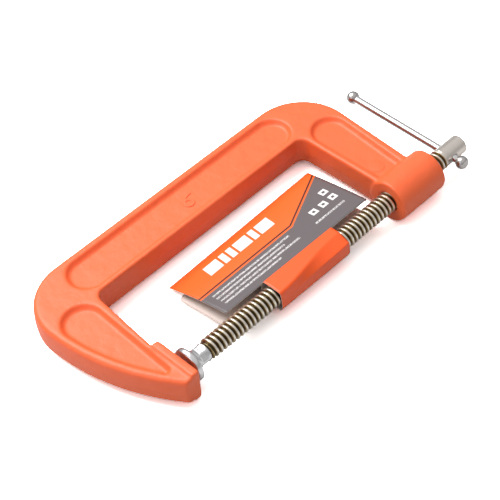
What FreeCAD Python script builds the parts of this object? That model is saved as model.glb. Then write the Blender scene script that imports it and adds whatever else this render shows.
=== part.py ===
import FreeCAD, Part
import os
import Sketcher
from FreeCAD import Vector, Placement, Rotation

# A 150 mm G clamp lying on its side.
# Frame of reference: the screw axis is the X axis, the anvil face is the plane X = 0,
# the spine lies towards +Y and +Z is up. Millimetres.

doc = FreeCAD.newDocument("g_clamp")

# Driving sizes: name, value, what it measures
DRIVING = [
    ("capacity", 150.0, "largest gap between anvil and pad"),
    ("open_clearance", 0.5, "gap left between pad and boss when fully open"),
    ("rest_gap", 2.2, "gap between anvil and pad at rest"),
    ("throat_depth", 68.0, "screw axis to the inner face of the spine"),
    ("spine_width", 34.0, "inner to outer face of the spine"),
    ("frame_thick", 18.8, "thickness of the casting across its side faces"),
    ("throat_radius", 6.0, "inside corners of the throat"),
    ("heel_radius", 34.0, "outside corner at the anvil end"),
    ("shoulder_radius", 34.0, "outside corner at the boss end"),
    ("jaw_root_width", 36.5, "anvil arm measured along the screw where it leaves the heel"),
    ("jaw_tip_width", 10.5, "anvil arm measured along the screw at its tip"),
    ("anvil_below", 14.0, "anvil face below the screw axis"),
    ("anvil_above", 19.0, "anvil face above the screw axis"),
    ("anvil_rise", 4.0, "anvil face proud of the arm"),
    ("anvil_block", 6.2, "anvil block measured along the screw"),
    ("anvil_side_rise", 1.5, "anvil block proud of the side faces"),
    ("anvil_stock", 0.4, "casting skin ground off the anvil face"),
    ("anvil_corner", 2.2, "rounding of the inner corner of the anvil block"),
    ("anvil_edge", 1.1, "rounding of the side edges of the anvil block"),
    ("tip_stock", 4.0, "length trimmed off the tip of the anvil arm"),
    ("tip_edge", 0.8, "rounding round the trimmed end"),
    ("arm_lean", 1.6, "inner face of the boss arm leans back by this much"),
    ("arm_root_width", 33.5, "boss arm width at the spine"),
    ("arm_end_width", 28.0, "boss arm width at the boss"),
    ("boss_radius", 13.45, "outside of the boss"),
    ("boss_length", 36.0, "length of the boss along the screw"),
    ("boss_proud", 0.9, "boss mouth proud of the boss arm"),
    ("boss_mouth_round", 0.7, "rounding of the boss at its mouth"),
    ("boss_back_round", 1.2, "rounding of the boss at its far end"),
    ("side_draft", 3.5, "casting draft in degrees"),
    ("panel_depth", 3.0, "depth of the cast side panels"),
    ("panel_draft", 36.0, "slope of the panel walls in degrees"),
    ("rim_outer", 5.4, "rim left outside the panels"),
    ("rim_inner", 3.4, "rim left on the throat side of the panels"),
    ("rim_jaw", 5.4, "rim between the throat and the jaw panel"),
    ("rim_jaw_back", 4.9, "rim between the jaw panel and the back of the anvil arm"),
    ("jaw_panel_top_gap", 9.5, "centre of the round end of the jaw panel, short of the spine"),
    ("jaw_panel_tip", 15.0, "solid tip left below the jaw panel"),
    ("jaw_panel_tip_width", 6.4, "width of the jaw panel at its tip"),
    ("spine_panel_start", 7.5, "round end of the spine panel, past the anvil face"),
    ("spine_panel_end", 9.5, "round end of the spine panel, short of the boss arm"),
    ("arm_panel_top_gap", 9.0, "centre of the round end of the arm panel, short of the spine"),
    ("panel_edge_round", 0.9, "rounding of the edges of the panels"),
    ("panel_floor_round", 0.7, "rounding at the foot of the panel walls"),
    ("edge_round_outer", 3.2, "rounding of the outer edges of the casting"),
    ("edge_round_inner", 1.4, "rounding of the throat edges"),
    ("screw_radius", 6.35, "outside of the screw thread"),
    ("bore_clearance", 0.06, "running clearance of the screw in its bore"),
    ("head_radius", 6.1, "plain head of the screw"),
    ("head_length", 22.0, "length of the plain head"),
    ("head_gap", 6.1, "threaded length showing behind the boss at rest"),
    ("head_chamfer", 0.7, "chamfer at the end of the head"),
    ("hole_back", 11.3, "centre of the bar hole from the end of the head"),
    ("lead_chamfer", 1.0, "chamfer at the start of the thread"),
    ("lead_gap", 0.5, "gap between the collar and the start of the thread"),
    ("ball_radius", 3.7, "ball end of the screw"),
    ("neck_radius", 2.9, "neck behind the ball"),
    ("socket_clearance", 0.06, "running clearance of the ball in the pad"),
    ("pad_radius", 10.5, "outside of the swivel pad"),
    ("pad_rim", 2.0, "thickness of the pad at its rim"),
    ("pad_height", 14.3, "height of the pad along the screw"),
    ("pad_floor", 3.0, "metal between the pad face and the socket"),
    ("pad_edge", 0.5, "chamfer round the pad face"),
    ("mouth_clearance", 0.45, "gap between the neck and the crimped mouth"),
    ("crimp_end", 0.8, "plain length left at the end of the collar"),
    ("collar_radius", 5.9, "outside of the crimped collar"),
    ("collar_flat", 5.45, "distance of the crimped flats from the axis"),
    ("cone_end", 8.2, "pad face to the end of its cone"),
    ("bar_radius", 2.4, "tommy bar rod"),
    ("bar_clearance", 0.06, "running clearance of the bar in the head"),
    ("bar_long_side", 75.3, "centre of the far knob from the screw axis"),
    ("bar_short_side", 11.3, "centre of the near knob from the screw axis"),
    ("knob_radius", 4.05, "knobs on the bar"),
    ("knob_flat", 2.9, "flat end of a knob from its centre"),
    ("knob_flare", 7.0, "length of the flare into the far knob"),
    ("knob_neck", 2.6, "end of the flare from the centre of the far knob"),
    ("knob_inner_flat", 3.05, "inner flat of the near knob from its centre"),
    ("spigot_radius", 1.7, "turned-down end of the bar inside the near knob"),
    ("spigot_length", 4.6, "length of the turned-down end"),
    ("tag_thick", 0.4, "card of the hang tag"),
    ("tag_start", 40.3, "anvil face to the near edge of the tag panel"),
    ("tag_gap", 9.0, "gap between the tag panel and the boss"),
    ("tag_width", 46.0, "tag panel across its print"),
    ("tag_slope", 15.5, "slope of the tag panel in degrees"),
    ("loop_start", 68.5, "anvil face to the near edge of the tag loop"),
    ("loop_length", 55.0, "tag loop along the screw"),
    ("loop_clearance", 0.45, "gap between the screw and the folded tag loop"),
    ("tag_join", 3.6, "height at which the panel leaves the loop"),
]

# Derived sizes: name, formula
DERIVED = [
    ("half_thick", "=frame_thick / 2"),
    ("boss_face_x", "=capacity + pad_height + open_clearance"),
    ("boss_back_x", "=boss_face_x + boss_length"),
    ("spine_out_y", "=throat_depth + spine_width"),
    ("arm_in_low_x", "=boss_face_x + boss_proud"),
    ("arm_in_high_x", "=arm_in_low_x - arm_lean"),
    ("arm_out_low_x", "=arm_in_low_x + arm_end_width"),
    ("arm_out_high_x", "=arm_in_high_x + arm_root_width"),
    ("arm_end_y", "=-boss_radius * 0.3"),
    ("shoulder_y", "=spine_out_y - shoulder_radius"),
    ("shoulder_x", "=arm_out_high_x - shoulder_radius"),
    ("arm_run_x", "=arm_out_low_x - shoulder_x"),
    ("arm_run_y", "=arm_end_y - shoulder_y"),
    ("arm_turn", "=atan(arm_run_y / arm_run_x) + acos(shoulder_radius / sqrt(arm_run_x^2 + arm_run_y^2))"),
    ("arm_tangent_x", "=shoulder_x + shoulder_radius * cos(arm_turn)"),
    ("arm_tangent_y", "=shoulder_y + shoulder_radius * sin(arm_turn)"),
    ("heel_y", "=spine_out_y - heel_radius"),
    ("heel_x", "=heel_radius - jaw_root_width"),
    ("jaw_back_x", "=-jaw_root_width"),
    ("jaw_tip_x", "=-jaw_tip_width"),
    ("jaw_tip_y", "=-anvil_below"),
    ("jaw_over_y", "=jaw_tip_y - tip_stock"),
    ("jaw_step_x", "=-anvil_rise"),
    ("jaw_step_y", "=anvil_above - anvil_block / 2"),
    ("jaw_core_x", "=-2 * anvil_stock"),
    ("jaw_back_radius", "=((jaw_tip_x - jaw_back_x)^2 + (heel_y - jaw_tip_y)^2)"
                        " / (2 * (jaw_tip_x - jaw_back_x))"),
    ("jaw_centre_x", "=jaw_back_x + jaw_back_radius"),
    ("jaw_over_x", "=jaw_centre_x - sqrt(jaw_back_radius^2 - (heel_y - jaw_over_y)^2)"),
    ("jaw_mid_y", "=(heel_y + jaw_tip_y) / 2"),
    ("jaw_mid_x", "=jaw_centre_x - sqrt(jaw_back_radius^2 - (heel_y - jaw_mid_y)^2)"),
    ("shoulder_mid_x", "=shoulder_x + shoulder_radius * sin(45)"),
    ("shoulder_mid_y", "=shoulder_y + shoulder_radius * sin(45)"),
    ("heel_mid_x", "=heel_x - heel_radius * sin(45)"),
    ("heel_mid_y", "=heel_y + heel_radius * sin(45)"),
    ("anvil_cast_x", "=anvil_stock"),
    ("ground_far_x", "=anvil_stock + 3"),
    ("ground_low_y", "=jaw_over_y - 3"),
    ("ground_high_y", "=anvil_above + 1.5"),
    ("trim_x", "=jaw_tip_x - 8"),
    ("block_back_x", "=-anvil_block"),
    ("spine_panel_low", "=throat_depth + rim_inner"),
    ("spine_panel_high", "=spine_out_y - rim_outer"),
    ("spine_panel_mid", "=(spine_panel_low + spine_panel_high) / 2"),
    ("spine_panel_half", "=(spine_panel_high - spine_panel_low) / 2"),
    ("spine_panel_left", "=spine_panel_start"),
    ("spine_panel_left_end", "=spine_panel_left - spine_panel_half"),
    ("spine_panel_right", "=arm_in_high_x - spine_panel_end"),
    ("spine_panel_right_end", "=spine_panel_right + spine_panel_half"),
    ("arm_panel_in_high", "=arm_in_high_x + rim_inner + 0.3"),
    ("arm_panel_in_low", "=arm_in_low_x + rim_inner"),
    ("arm_panel_out_high", "=arm_out_high_x - rim_outer"),
    ("arm_panel_out_low", "=arm_out_low_x - rim_outer"),
    ("arm_panel_mid", "=(arm_panel_in_high + arm_panel_out_high) / 2"),
    ("arm_panel_top", "=throat_depth - arm_panel_top_gap"),
    ("arm_panel_end", "=arm_panel_top + (arm_panel_out_high - arm_panel_in_high) / 2"),
    ("arm_panel_foot", "=boss_radius * 0.64"),
    ("arm_panel_foot_mid", "=(arm_panel_in_low + arm_panel_out_low) / 2"),
    ("arm_panel_foot_low", "=arm_panel_foot - boss_radius / 4"),
    ("jaw_panel_radius", "=jaw_back_radius - rim_jaw_back"),
    ("jaw_panel_right", "=-rim_jaw"),
    ("jaw_panel_top", "=throat_depth - jaw_panel_top_gap"),
    ("jaw_panel_left", "=jaw_centre_x - sqrt(jaw_panel_radius^2 - (heel_y - jaw_panel_top)^2)"),
    ("jaw_panel_mid", "=(jaw_panel_left + jaw_panel_right) / 2"),
    ("jaw_panel_end", "=jaw_panel_top + (jaw_panel_right - jaw_panel_left) / 2"),
    ("jaw_panel_tip_y", "=jaw_panel_tip - anvil_below"),
    ("jaw_panel_tip_left", "=jaw_centre_x - sqrt(jaw_panel_radius^2 - (heel_y - jaw_panel_tip_y)^2)"),
    ("jaw_panel_tip_right", "=jaw_panel_tip_left + jaw_panel_tip_width"),
    ("jaw_panel_tip_mid", "=(jaw_panel_tip_left + jaw_panel_tip_right) / 2"),
    ("jaw_panel_tip_low", "=jaw_panel_tip_y - jaw_panel_tip_width / 2"),
    ("jaw_panel_bow_y", "=(jaw_panel_top + jaw_panel_tip_y) / 2"),
    ("jaw_panel_bow_x", "=jaw_centre_x - sqrt(jaw_panel_radius^2 - (heel_y - jaw_panel_bow_y)^2)"),
    ("bore_radius", "=screw_radius + bore_clearance"),
    ("hole_radius", "=bar_radius + bar_clearance"),
    ("socket_radius", "=ball_radius + socket_clearance"),
    ("zero", "=0"),
    ("ball_x", "=rest_gap + pad_floor + socket_radius"),
    ("ball_tip_x", "=ball_x - ball_radius"),
    ("neck_start_x", "=ball_x + sqrt(ball_radius^2 - neck_radius^2)"),
    ("ball_side_x", "=ball_x"),
    ("pad_end_x", "=rest_gap + pad_height"),
    ("lead_x", "=pad_end_x + lead_gap"),
    ("thread_x", "=lead_x + lead_chamfer"),
    ("lead_radius", "=screw_radius - lead_chamfer"),
    ("head_x", "=boss_back_x + head_gap"),
    ("head_end_x", "=head_x + head_length"),
    ("head_edge_x", "=head_end_x - head_chamfer"),
    ("head_edge_radius", "=head_radius - head_chamfer"),
    ("bar_x", "=head_end_x - hole_back"),
    ("pad_face_edge", "=pad_radius - pad_edge"),
    ("pad_rim_front_x", "=rest_gap + pad_edge"),
    ("pad_rim_x", "=rest_gap + pad_rim"),
    ("cone_end_x", "=rest_gap + cone_end"),
    ("mouth_radius", "=neck_radius + mouth_clearance"),
    ("mouth_x", "=ball_x + sqrt(socket_radius^2 - mouth_radius^2)"),
    ("socket_tip_x", "=ball_x - socket_radius"),
    ("crimp_x", "=pad_end_x - crimp_end"),
    ("crimp_length", "=crimp_x - cone_end_x"),
    ("crimp_far", "=collar_radius + 1"),
    ("crimp_side", "=collar_radius / 2"),
    ("crimp_other_side", "=-crimp_side"),
    ("flare_y", "=bar_long_side - knob_flare"),
    ("flare_end_y", "=bar_long_side - knob_neck"),
    ("flare_end_radius", "=sqrt(knob_radius^2 - knob_neck^2)"),
    ("far_end_y", "=bar_long_side + knob_flat"),
    ("knob_flat_radius", "=sqrt(knob_radius^2 - knob_flat^2)"),
    ("near_y", "=-bar_short_side"),
    ("near_inner_y", "=knob_inner_flat - bar_short_side"),
    ("near_inner_radius", "=sqrt(knob_radius^2 - knob_inner_flat^2)"),
    ("near_outer_y", "=-bar_short_side - knob_flat"),
    ("spigot_end_y", "=near_inner_y - spigot_length"),
    ("tag_length", "=boss_face_x - tag_gap - tag_start"),
    ("loop_in", "=screw_radius + loop_clearance"),
    ("loop_out", "=loop_in + tag_thick"),
    ("loop_in_other", "=-loop_in"),
    ("loop_out_other", "=-loop_out"),
    ("tag_far_y", "=loop_in + tag_width * cos(tag_slope)"),
    ("tag_far_z", "=tag_join - tag_width * sin(tag_slope)"),
    ("tag_far_low_z", "=tag_far_z - tag_thick"),
    ("tag_join_low_z", "=tag_join - tag_thick"),
]

sheet = doc.addObject("Spreadsheet::Sheet", "sizes")
row = 1
for name, value, note in DRIVING:
    sheet.set("A%d" % row, name)
    sheet.set("B%d" % row, "%g" % value)
    sheet.set("C%d" % row, note)
    sheet.setAlias("B%d" % row, name)
    row += 1
doc.recompute()
for name, formula in DERIVED:
    sheet.set("A%d" % row, name)
    sheet.set("B%d" % row, formula)
    sheet.setAlias("B%d" % row, name)
    doc.recompute()
    row += 1


def size(name):
    return float(sheet.get(name))



def bind(item, prop, formula):
    item.setExpression(prop, formula)


def origin_plane(body, role):
    for feature in body.Origin.OriginFeatures:
        if feature.Role == role:
            return feature
    raise RuntimeError("no plane " + role)


def new_body(label):
    body = doc.addObject("PartDesign::Body", label)
    body.Label = label
    return body


def new_sketch(body, name, role, offset=None):
    """A sketch on one of the body's origin planes, raised along its normal by a sheet formula."""
    sketch = body.newObject("Sketcher::SketchObject", name)
    sketch.AttachmentSupport = [(origin_plane(body, role), "")]
    sketch.MapMode = "FlatFace"
    if offset:
        bind(sketch, "AttachmentOffset.Base.z", offset)
    doc.recompute()
    return sketch


def tie(sketch, kind, geo, pos, alias):
    """Hold one coordinate of a sketch point at the value of a cell."""
    value = size(alias)
    axis = -2 if kind == "DistanceX" else -1
    if abs(value) < 1e-9:
        sketch.addConstraint(Sketcher.Constraint("PointOnObject", geo, pos, axis))
        return
    index = sketch.addConstraint(Sketcher.Constraint(kind, -1, 1, geo, pos, value))
    bind(sketch, "Constraints[%d]" % index, "sizes." + alias)


def closed_path(sketch, corners, arcs=None):
    """Lines and arcs through the corners, each corner given by the two cells that place it.

    arcs maps the number of a segment to the two cells of a point that the arc passes through.
    """
    arcs = arcs or {}
    count = len(corners)
    points = [Vector(size(u), size(v), 0) for u, v in corners]
    ends = []
    for k in range(count):
        here, there = points[k], points[(k + 1) % count]
        if k in arcs:
            mid = Vector(size(arcs[k][0]), size(arcs[k][1]), 0)
            arc = Part.ArcOfCircle(here, mid, there)
            geo = sketch.addGeometry(arc, False)
            backward = sketch.getPoint(geo, 1).distanceToPoint(here) > 1e-6
            ends.append((geo, 2, 1) if backward else (geo, 1, 2))
            point = sketch.addGeometry(Part.Point(mid), True)
            sketch.addConstraint(Sketcher.Constraint("PointOnObject", point, 1, geo))
            tie(sketch, "DistanceX", point, 1, arcs[k][0])
            tie(sketch, "DistanceY", point, 1, arcs[k][1])
        else:
            geo = sketch.addGeometry(Part.LineSegment(here, there), False)
            ends.append((geo, 1, 2))
    for k in range(count):
        this, following = ends[k], ends[(k + 1) % count]
        join = Sketcher.Constraint("Coincident", this[0], this[2], following[0], following[1])
        sketch.addConstraint(join)
    for k in range(count):
        tie(sketch, "DistanceX", ends[k][0], ends[k][1], corners[k][0])
        tie(sketch, "DistanceY", ends[k][0], ends[k][1], corners[k][1])


def circle(sketch, radius, x="zero", y="zero"):
    """A circle whose radius and centre are held by cells."""
    centre = Vector(size(x), size(y), 0)
    geo = sketch.addGeometry(Part.Circle(centre, Vector(0, 0, 1), size(radius)), False)
    index = sketch.addConstraint(Sketcher.Constraint("Radius", geo, size(radius)))
    bind(sketch, "Constraints[%d]" % index, "sizes." + radius)
    tie(sketch, "DistanceX", geo, 3, x)
    tie(sketch, "DistanceY", geo, 3, y)


def settle(feature, grows=None, before=None):
    """Recompute, and stop if the feature failed or changed the volume the wrong way."""
    doc.recompute()
    if "Invalid" in feature.State or feature.Shape.isNull():
        raise RuntimeError(feature.Name + " failed")
    if grows is not None:
        gained = feature.Shape.Volume - before
        if (gained > 0) != grows:
            raise RuntimeError(feature.Name + " points the wrong way")
    return feature


def pad(body, sketch, name, length=None, both=None, taper=None):
    feature = body.newObject("PartDesign::Pad", name)
    feature.Profile = sketch
    if both:
        feature.SideType = "Two sides"
        bind(feature, "Length", both)
        bind(feature, "Length2", both)
        if taper:
            bind(feature, "TaperAngle", taper)
            bind(feature, "TaperAngle2", taper)
    else:
        bind(feature, "Length", length)
    return settle(feature)


def pocket(body, sketch, name, length, reverse=False, taper=None):
    before = body.Tip.Shape.Volume
    feature = body.newObject("PartDesign::Pocket", name)
    feature.Profile = sketch
    bind(feature, "Length", length)
    feature.Reversed = reverse
    if taper:
        bind(feature, "TaperAngle", taper)
    return settle(feature, False, before)


def edges_where(shape, test):
    return ["Edge%d" % (k + 1) for k, edge in enumerate(shape.Edges) if test(edge)]


def fillet(body, name, base, edges, radius):
    feature = body.newObject("PartDesign::Fillet", name)
    feature.Base = (base, edges)
    bind(feature, "Radius", radius)
    return settle(feature)


def middle(edge):
    return edge.valueAt((edge.FirstParameter + edge.LastParameter) / 2)


# Frame: one malleable iron casting

frame = new_body("frame")
outline = new_sketch(frame, "outline", "XY_Plane")
closed_path(
    outline,
    [
        ("jaw_core_x", "jaw_over_y"),
        ("jaw_step_x", "jaw_step_y"),
        ("zero", "throat_depth"),
        ("arm_in_high_x", "throat_depth"),
        ("arm_in_low_x", "arm_end_y"),
        ("arm_out_low_x", "arm_end_y"),
        ("arm_tangent_x", "arm_tangent_y"),
        ("shoulder_x", "spine_out_y"),
        ("heel_x", "spine_out_y"),
        ("jaw_back_x", "heel_y"),
        ("jaw_over_x", "jaw_over_y"),
    ],
    {
        6: ("shoulder_mid_x", "shoulder_mid_y"),
        8: ("heel_mid_x", "heel_mid_y"),
        9: ("jaw_mid_x", "jaw_mid_y"),
    },
)
doc.recompute()


def upright(edge, x, y, near=2.5):
    """True for an edge that runs from side to side of the casting at x, y."""
    run = edge.valueAt(edge.LastParameter) - edge.valueAt(edge.FirstParameter)
    at = middle(edge)
    steep = abs(run.z) > 0.9 * run.Length
    return steep and abs(at.x - x) < near and abs(at.y - y) < near


def corner(name, base, x, y, radius, near=1.2):
    edges = edges_where(base.Shape, lambda e: upright(e, size(x), size(y), near))
    if not edges:
        raise RuntimeError(name + " finds no edge")
    return fillet(frame, name, base, edges, radius)


slab = pad(frame, outline, "slab", both="sizes.half_thick", taper="-sizes.side_draft")

solid = corner("throat_corner_jaw", slab, "zero", "throat_depth", "sizes.throat_radius")
solid = corner("throat_corner_arm", solid, "arm_in_high_x", "throat_depth", "sizes.throat_radius")

panels = []
sketch = new_sketch(frame, "spine_panel_shape", "XY_Plane", "sizes.half_thick")
closed_path(
    sketch,
    [
        ("spine_panel_left", "spine_panel_low"),
        ("spine_panel_right", "spine_panel_low"),
        ("spine_panel_right", "spine_panel_high"),
        ("spine_panel_left", "spine_panel_high"),
    ],
    {
        1: ("spine_panel_right_end", "spine_panel_mid"),
        3: ("spine_panel_left_end", "spine_panel_mid"),
    },
)
panels.append(pocket(frame, sketch, "spine_panel", "sizes.panel_depth", taper="-sizes.panel_draft"))

sketch = new_sketch(frame, "arm_panel_shape", "XY_Plane", "sizes.half_thick")
closed_path(
    sketch,
    [
        ("arm_panel_in_low", "arm_panel_foot"),
        ("arm_panel_out_low", "arm_panel_foot"),
        ("arm_panel_out_high", "arm_panel_top"),
        ("arm_panel_in_high", "arm_panel_top"),
    ],
    {
        0: ("arm_panel_foot_mid", "arm_panel_foot_low"),
        2: ("arm_panel_mid", "arm_panel_end"),
    },
)
panels.append(pocket(frame, sketch, "arm_panel", "sizes.panel_depth", taper="-sizes.panel_draft"))

sketch = new_sketch(frame, "jaw_panel_shape", "XY_Plane", "sizes.half_thick")
closed_path(
    sketch,
    [
        ("jaw_panel_tip_left", "jaw_panel_tip_y"),
        ("jaw_panel_tip_right", "jaw_panel_tip_y"),
        ("jaw_panel_right", "jaw_panel_top"),
        ("jaw_panel_left", "jaw_panel_top"),
    ],
    {
        0: ("jaw_panel_tip_mid", "jaw_panel_tip_low"),
        2: ("jaw_panel_mid", "jaw_panel_end"),
        3: ("jaw_panel_bow_x", "jaw_panel_bow_y"),
    },
)
panels.append(pocket(frame, sketch, "jaw_panel", "sizes.panel_depth", taper="-sizes.panel_draft"))

panel_sketches = [item.Profile[0] for item in panels]
mirror = frame.newObject("PartDesign::Mirrored", "far_side_panels")
mirror.Originals = panels
mirror.MirrorPlane = (origin_plane(frame, "XY_Plane"), [""])
frame.Tip = mirror
before = panels[-1].Shape.Volume
settle(mirror, False, before)


def held_by(sketch, at):
    """True for a point inside or on the outline of a panel."""
    face = Part.Face(sketch.Shape.Wires[0])
    flat = Vector(at.x, at.y, face.CenterOfMass.z)
    return face.distToShape(Part.Vertex(flat))[0] < 0.05


def rim_edges(shape, throat):
    """Edges round the two side faces: those of the throat, or those of the outer contour."""
    found = []
    for face in shape.Faces:
        level = abs(abs(face.CenterOfMass.z) - size("half_thick")) < 1e-3
        if not level or face.Surface.TypeId != "Part::GeomPlane":
            continue
        for edge in face.OuterWire.Edges:
            at = middle(edge)
            if at.y < size("jaw_over_y") + 1.5:
                continue
            inside = size("jaw_step_x") - 0.6 < at.x < size("arm_in_low_x") + 0.6
            inside = inside and size("arm_end_y") + 0.2 < at.y < size("throat_depth") + 0.6
            if inside == throat:
                found.append(edge)
    return [name_of(shape, edge) for edge in found]


def name_of(shape, wanted):
    for k, edge in enumerate(shape.Edges):
        if edge.isSame(wanted):
            return "Edge%d" % (k + 1)
    raise RuntimeError("edge not found")


def panel_edges(shape, depth, sketch):
    """Edges of one side panel, on both sides of the casting, at a depth below the side faces."""
    level = size("half_thick") - depth
    found = []
    for k, edge in enumerate(shape.Edges):
        at = middle(edge)
        ends = [edge.valueAt(edge.FirstParameter), edge.valueAt(edge.LastParameter)]
        flat = all(abs(abs(v.z) - level) < 1e-3 for v in ends + [at])
        if flat and held_by(sketch, at):
            found.append("Edge%d" % (k + 1))
    return found


solid = mirror
for sketch in panel_sketches:
    edges = panel_edges(solid.Shape, 0, sketch)
    solid = fillet(frame, sketch.Name + "_edge_round", solid, edges, "sizes.panel_edge_round")
    if sketch.Name.startswith("arm"):
        continue
    edges = panel_edges(solid.Shape, size("panel_depth"), sketch)
    solid = fillet(frame, sketch.Name + "_floor_round", solid, edges, "sizes.panel_floor_round")
edges = rim_edges(solid.Shape, False)
solid = fillet(frame, "outer_rounds", solid, edges, "sizes.edge_round_outer")
edges = rim_edges(solid.Shape, True)
solid = fillet(frame, "throat_rounds", solid, edges, "sizes.edge_round_inner")

block_shape = new_sketch(frame, "anvil_block_shape", "XY_Plane")
closed_path(
    block_shape,
    [
        ("block_back_x", "jaw_over_y"),
        ("anvil_cast_x", "jaw_over_y"),
        ("anvil_cast_x", "anvil_above"),
        ("block_back_x", "anvil_above"),
    ],
)
solid = pad(frame, block_shape, "anvil_block_pad", both="sizes.half_thick + sizes.anvil_side_rise",
            taper="-sizes.side_draft")
solid = corner("anvil_corner_round", solid, "anvil_cast_x", "anvil_above", "sizes.anvil_corner")


def block_edge(edge):
    """True for an edge of the anvil block's two side faces."""
    level = size("half_thick") + size("anvil_side_rise")
    ends = [edge.valueAt(edge.FirstParameter), edge.valueAt(edge.LastParameter)]
    return all(abs(abs(v.z) - level) < 1e-3 for v in ends)


edges = edges_where(solid.Shape, block_edge)
solid = fillet(frame, "anvil_block_rounds", solid, edges, "sizes.anvil_edge")

ground = new_sketch(frame, "anvil_ground_shape", "XY_Plane")
closed_path(
    ground,
    [
        ("zero", "ground_high_y"),
        ("zero", "jaw_tip_y"),
        ("trim_x", "jaw_tip_y"),
        ("trim_x", "ground_low_y"),
        ("ground_far_x", "ground_low_y"),
        ("ground_far_x", "ground_high_y"),
    ],
)


def through(body, sketch, name, length):
    """A cut of the given total length, half of it on each side of the sketch."""
    before = body.Tip.Shape.Volume
    feature = body.newObject("PartDesign::Pocket", name)
    feature.Profile = sketch
    feature.SideType = "Symmetric"
    bind(feature, "Length", length)
    return settle(feature, False, before)


solid = through(frame, ground, "anvil_ground", "sizes.frame_thick + 8")


def tip_rim(edge):
    """True for an edge round the trimmed end of the anvil arm, but for the anvil face."""
    ends = [edge.valueAt(edge.FirstParameter), edge.valueAt(edge.LastParameter)]
    return all(abs(v.y - size("jaw_tip_y")) < 1e-3 for v in ends) and middle(edge).x < -0.01


edges = edges_where(solid.Shape, tip_rim)
solid = fillet(frame, "tip_rounds", solid, edges, "sizes.tip_edge")

ring = new_sketch(frame, "boss_shape", "YZ_Plane", "sizes.boss_face_x")
circle(ring, "boss_radius")
boss = pad(frame, ring, "boss", "sizes.boss_length")


def on_boss(at):
    reach = (at.y ** 2 + at.z ** 2) ** 0.5
    return abs(reach - size("boss_radius")) < 0.02


def end_edge(edge, x):
    return on_boss(middle(edge)) and abs(middle(edge).x - x) < 1e-3


edges = edges_where(boss.Shape, lambda e: end_edge(e, size("boss_back_x")))
solid = fillet(frame, "boss_back_rounds", boss, edges, "sizes.boss_back_round")
edges = edges_where(solid.Shape, lambda e: end_edge(e, size("boss_face_x")))
solid = fillet(frame, "boss_mouth_rounds", solid, edges, "sizes.boss_mouth_round")
bore = new_sketch(frame, "bore_shape", "YZ_Plane", "sizes.boss_face_x - 1")
circle(bore, "bore_radius")
bore_cut = pocket(frame, bore, "bore", "sizes.boss_length + 2", reverse=True)


# Screw: one turned rod with a ball end, a threaded shank and a drilled head

def revolve(body, sketch, name, axis):
    feature = body.newObject("PartDesign::Revolution", name)
    feature.Profile = sketch
    feature.ReferenceAxis = (sketch, [axis])
    feature.Angle = 360
    return settle(feature)


screw = new_body("screw")
shape = new_sketch(screw, "screw_shape", "XY_Plane")
closed_path(
    shape,
    [
        ("ball_tip_x", "zero"),
        ("neck_start_x", "neck_radius"),
        ("lead_x", "neck_radius"),
        ("lead_x", "lead_radius"),
        ("thread_x", "screw_radius"),
        ("head_x", "screw_radius"),
        ("head_x", "head_radius"),
        ("head_edge_x", "head_radius"),
        ("head_end_x", "head_edge_radius"),
        ("head_end_x", "zero"),
    ],
    {0: ("ball_side_x", "ball_radius")},
)
revolve(screw, shape, "turned_rod", "H_Axis")
hole = new_sketch(screw, "bar_hole_shape", "XZ_Plane")
circle(hole, "hole_radius", "bar_x", "zero")
through(screw, hole, "bar_hole", "sizes.head_radius * 4")


# Swivel pad: a turned cup crimped round the ball

swivel_pad = new_body("swivel_pad")
shape = new_sketch(swivel_pad, "pad_shape", "XY_Plane")
closed_path(
    shape,
    [
        ("rest_gap", "zero"),
        ("rest_gap", "pad_face_edge"),
        ("pad_rim_front_x", "pad_radius"),
        ("pad_rim_x", "pad_radius"),
        ("cone_end_x", "collar_radius"),
        ("pad_end_x", "collar_radius"),
        ("pad_end_x", "mouth_radius"),
        ("mouth_x", "mouth_radius"),
        ("socket_tip_x", "zero"),
    ],
    {7: ("ball_side_x", "socket_radius")},
)
revolve(swivel_pad, shape, "turned_cup", "H_Axis")
crimp_shape = new_sketch(swivel_pad, "crimp_shape", "YZ_Plane", "sizes.crimp_x")
closed_path(
    crimp_shape,
    [
        ("crimp_other_side", "collar_flat"),
        ("crimp_side", "collar_flat"),
        ("crimp_side", "crimp_far"),
        ("crimp_other_side", "crimp_far"),
    ],
)
crimp = pocket(swivel_pad, crimp_shape, "crimp", "sizes.crimp_length")
crimps = swivel_pad.newObject("PartDesign::PolarPattern", "crimps")
crimps.Originals = [crimp]
crimps.Axis = (origin_plane(swivel_pad, "X_Axis"), [""])
crimps.Angle = 360
crimps.Occurrences = 6
swivel_pad.Tip = crimps
settle(crimps, False, crimp.Shape.Volume)


# Tommy bar: a round rod with one upset knob and a turned-down end

tommy_bar = new_body("tommy_bar")
bind(tommy_bar, "Placement.Base.x", "sizes.bar_x")
shape = new_sketch(tommy_bar, "bar_shape", "XY_Plane")
closed_path(
    shape,
    [
        ("zero", "spigot_end_y"),
        ("spigot_radius", "spigot_end_y"),
        ("spigot_radius", "near_inner_y"),
        ("bar_radius", "near_inner_y"),
        ("bar_radius", "flare_y"),
        ("flare_end_radius", "flare_end_y"),
        ("knob_flat_radius", "far_end_y"),
        ("zero", "far_end_y"),
    ],
    {5: ("knob_radius", "bar_long_side")},
)
revolve(tommy_bar, shape, "rod", "V_Axis")


# End knob: pressed on after the bar has passed through the head

end_knob = new_body("end_knob")
bind(end_knob, "Placement.Base.x", "sizes.bar_x")
shape = new_sketch(end_knob, "knob_shape", "XY_Plane")
closed_path(
    shape,
    [
        ("zero", "near_outer_y"),
        ("knob_flat_radius", "near_outer_y"),
        ("near_inner_radius", "near_inner_y"),
        ("spigot_radius", "near_inner_y"),
        ("spigot_radius", "spigot_end_y"),
        ("zero", "spigot_end_y"),
    ],
    {1: ("knob_radius", "near_y")},
)
revolve(end_knob, shape, "knob", "V_Axis")


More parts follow.
